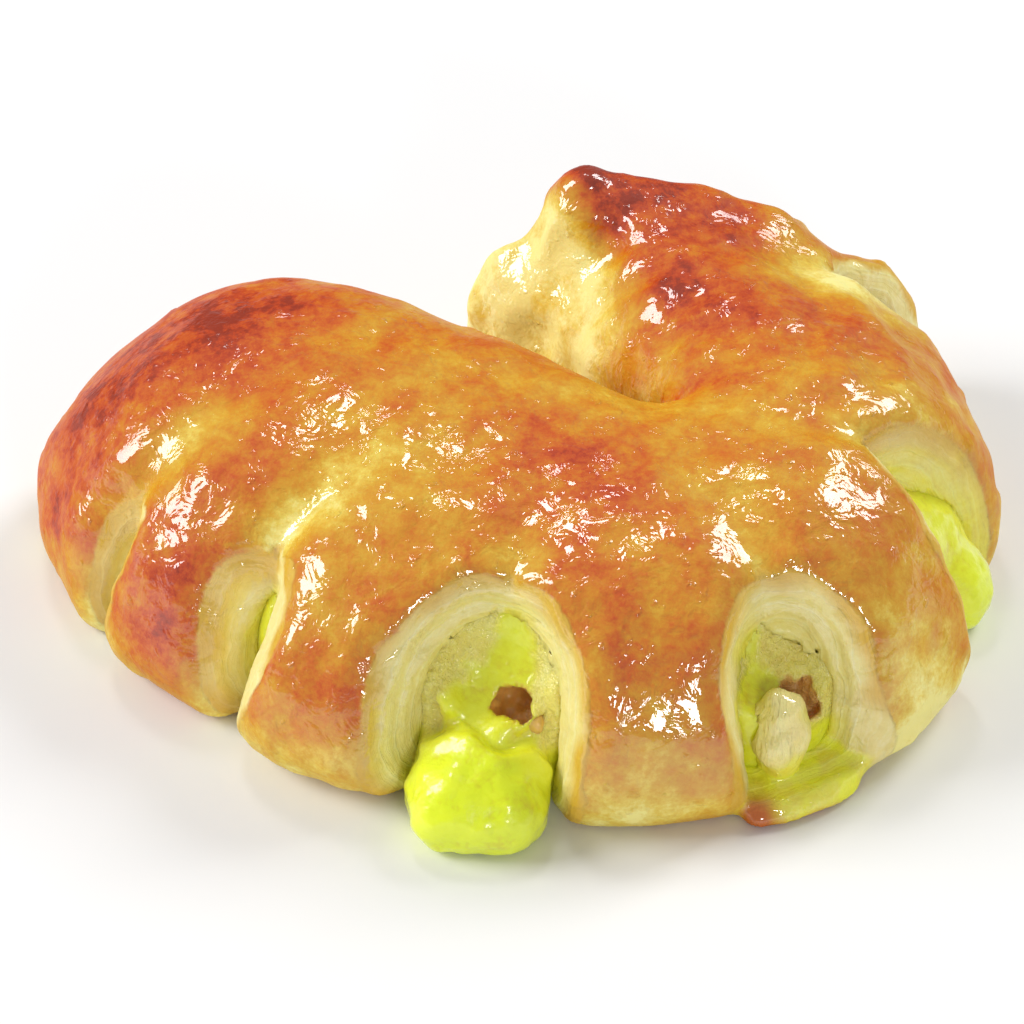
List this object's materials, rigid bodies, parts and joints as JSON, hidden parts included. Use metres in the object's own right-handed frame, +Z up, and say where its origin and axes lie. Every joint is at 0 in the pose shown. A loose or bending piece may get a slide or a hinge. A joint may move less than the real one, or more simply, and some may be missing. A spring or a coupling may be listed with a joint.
{
  "type": "danish pastry",
  "caption": "Glazed danish pastry: a filled log bent into a horseshoe and slit along its outer side, so that its fingers fan apart and custard shows between them.",
  "frame": {"origin": "middle of the overall box in plan, at the height of the flat base", "axes": "+X along the longest extent, from the free end of the long arm towards the outside of the bend; +Y from the fanned fingers at the front towards the notch at the back; +Z up"},
  "size_m": [0.1532, 0.1194, 0.047],
  "materials": {
    "crust": "baked crust under a clear sugar glaze, pale crumb at the slits",
    "custard": "glossy set custard"
  },
  "bodies": {
    "root": {"dough": "crust", "custard": "custard"}
  },
  "joints": []
}
